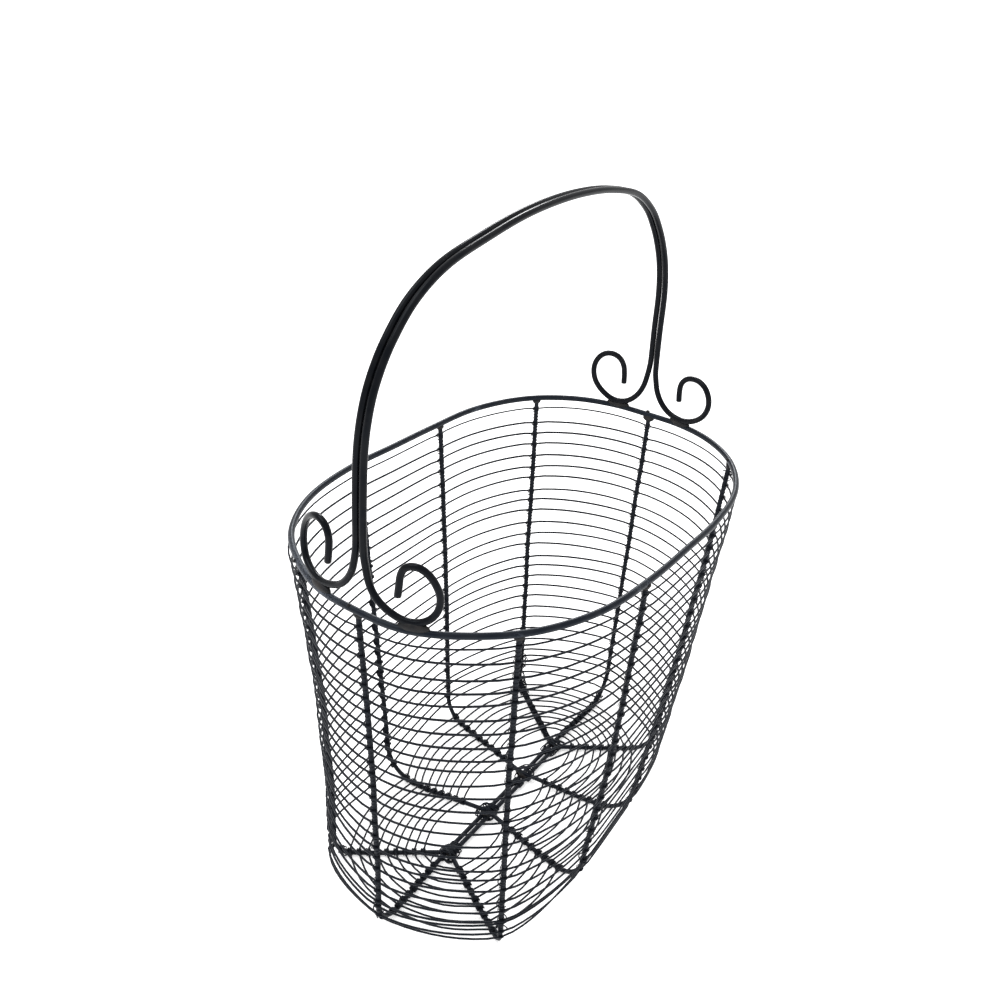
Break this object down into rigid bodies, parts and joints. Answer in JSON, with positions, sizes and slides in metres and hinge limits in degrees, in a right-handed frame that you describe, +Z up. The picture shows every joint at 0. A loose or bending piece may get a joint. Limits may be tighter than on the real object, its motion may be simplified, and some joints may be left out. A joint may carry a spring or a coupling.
{
  "type": "onion basket",
  "caption": "Oval wire basket with sloping walls of wound fine wire on rod ribs, a heavy rod rim and a tall arched rod handle with scrolled ends.",
  "frame": {"origin": "on the floor under the middle of the basket", "axes": "+X along the basket's length, +Y across it to the back, +Z up to the handle"},
  "size_m": [0.3746, 0.2495, 0.4859],
  "materials": {
    "black_paint": "semi-gloss black paint on bent steel rod",
    "black_wire": "satin black paint on fine steel wire",
    "painted_weld": "matt black-brown painted weld"
  },
  "bodies": {
    "root": {"rim": "black_paint", "handle_rod_back": "black_paint", "handle_rod_front": "black_paint", "long_rib": "black_paint", "front_corner_rib": "black_paint", "cross_rib_left": "black_paint", "cross_rib_right": "black_paint", "back_left_rib": "black_paint", "back_right_rib": "black_paint", "wall_winding_upper": "black_wire", "wall_winding_middle": "black_wire", "wall_winding_lower": "black_wire", "floor_winding": "black_wire", "spine_tie_1": "black_wire", "spine_tie_2": "black_wire", "spine_tie_3": "black_wire", "spine_tie_4": "black_wire", "handle_weld_left_back": "painted_weld", "handle_weld_left_front": "painted_weld", "handle_weld_right_back": "painted_weld", "handle_weld_right_front": "painted_weld"}
  },
  "joints": []
}
